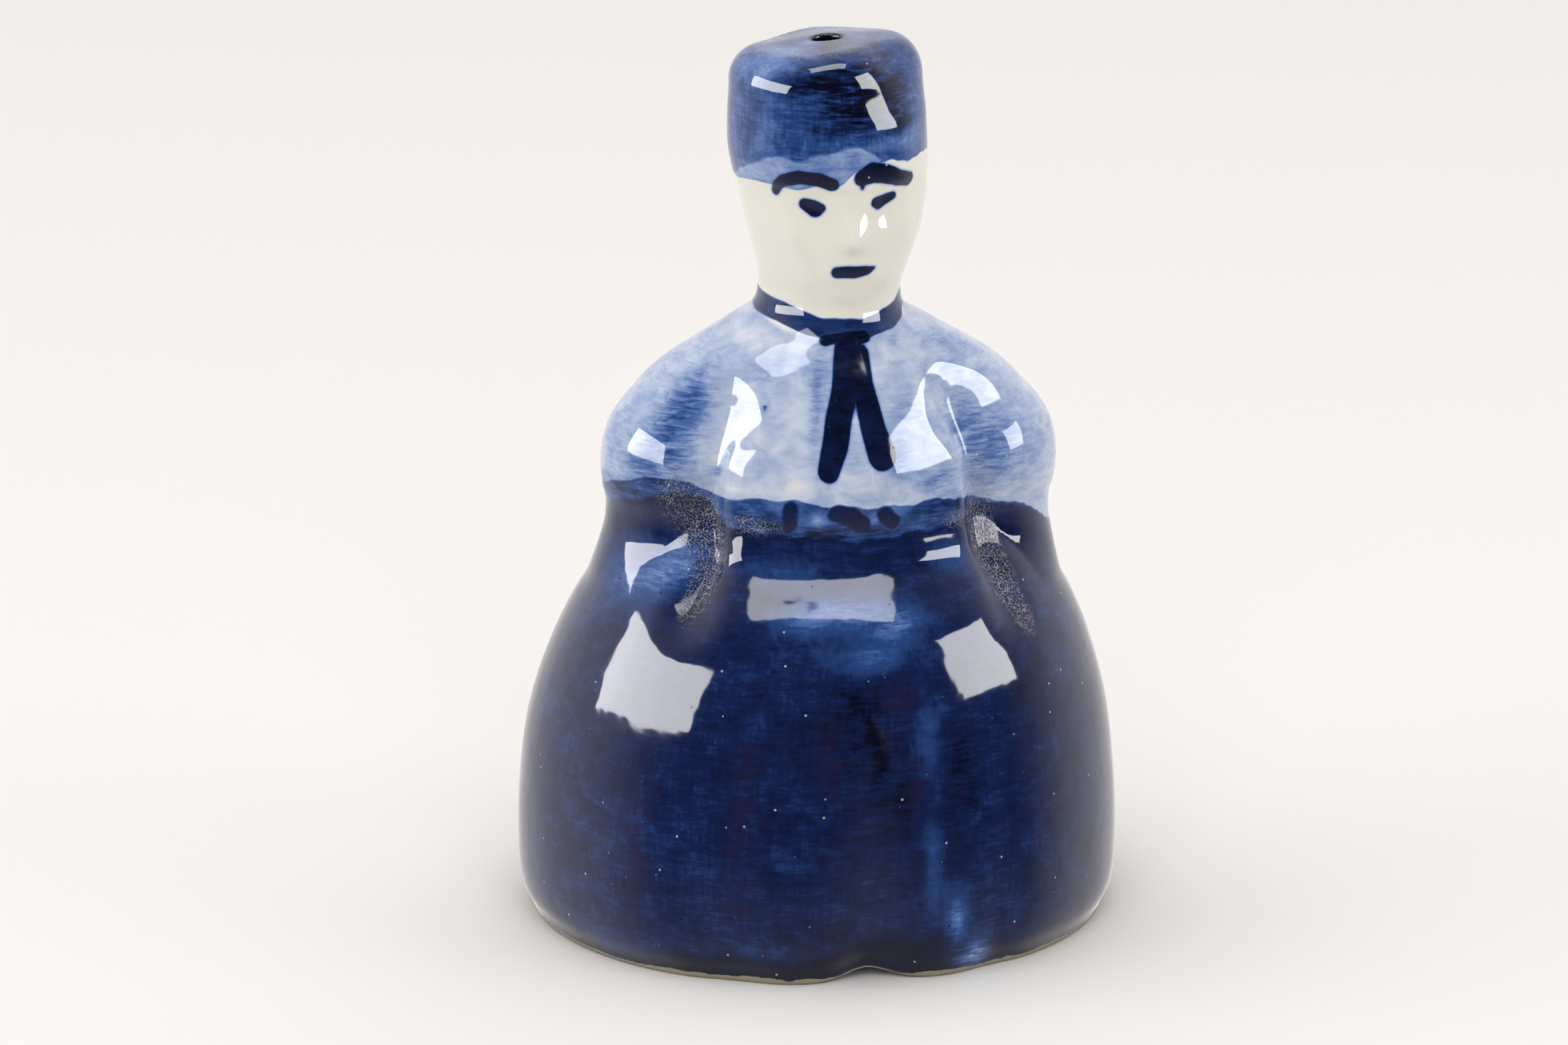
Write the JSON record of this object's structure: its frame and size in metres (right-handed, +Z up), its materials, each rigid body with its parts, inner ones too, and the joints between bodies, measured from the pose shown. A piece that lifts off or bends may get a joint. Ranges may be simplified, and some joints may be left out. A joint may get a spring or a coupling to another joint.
{
  "type": "figurine table bell",
  "caption": "Porcelain table bell shaped as a boy in a cap and wide trousers, with a bead clapper hung on wire from a bar across the neck.",
  "frame": {"origin": "middle of the figure's footprint, on the surface that the rim stands on", "axes": "+Z up, -Y the way the face looks, +X to the figure's left hand"},
  "size_m": [0.0674, 0.0625, 0.1],
  "materials": {
    "painted_porcelain": "white slip-cast porcelain with cobalt brush painting under a clear gloss glaze",
    "white_porcelain": "white porcelain under a clear gloss glaze",
    "hanger_wire": "drawn heat-resistant steel wire, slightly dulled"
  },
  "bodies": {
    "bell": {"bell_body": "painted_porcelain", "hanger_bar": "hanger_wire"},
    "hanger": {"hanger_ring": "hanger_wire"},
    "clapper": {"clapper_stem": "hanger_wire"},
    "bead": {"clapper_bead": "white_porcelain"}
  },
  "joints": [
    {"name": "ring_swing", "type": "hinge", "parent": "bell", "child": "hanger", "pos_m": [0.0006, -0.002, 0.0724], "axis": [1, 0, 0], "range_deg": [-15, 15]},
    {"name": "clapper_swing", "type": "hinge", "parent": "hanger", "child": "clapper", "pos_m": [0.0006, -0.002, 0.0683], "axis": [0, 1, 0], "range_deg": [-16, 16]},
    {"name": "bead_spin", "type": "hinge", "parent": "clapper", "child": "bead", "pos_m": [0.0006, -0.002, 0.022], "axis": [0, 0, 1], "continuous": true}
  ]
}
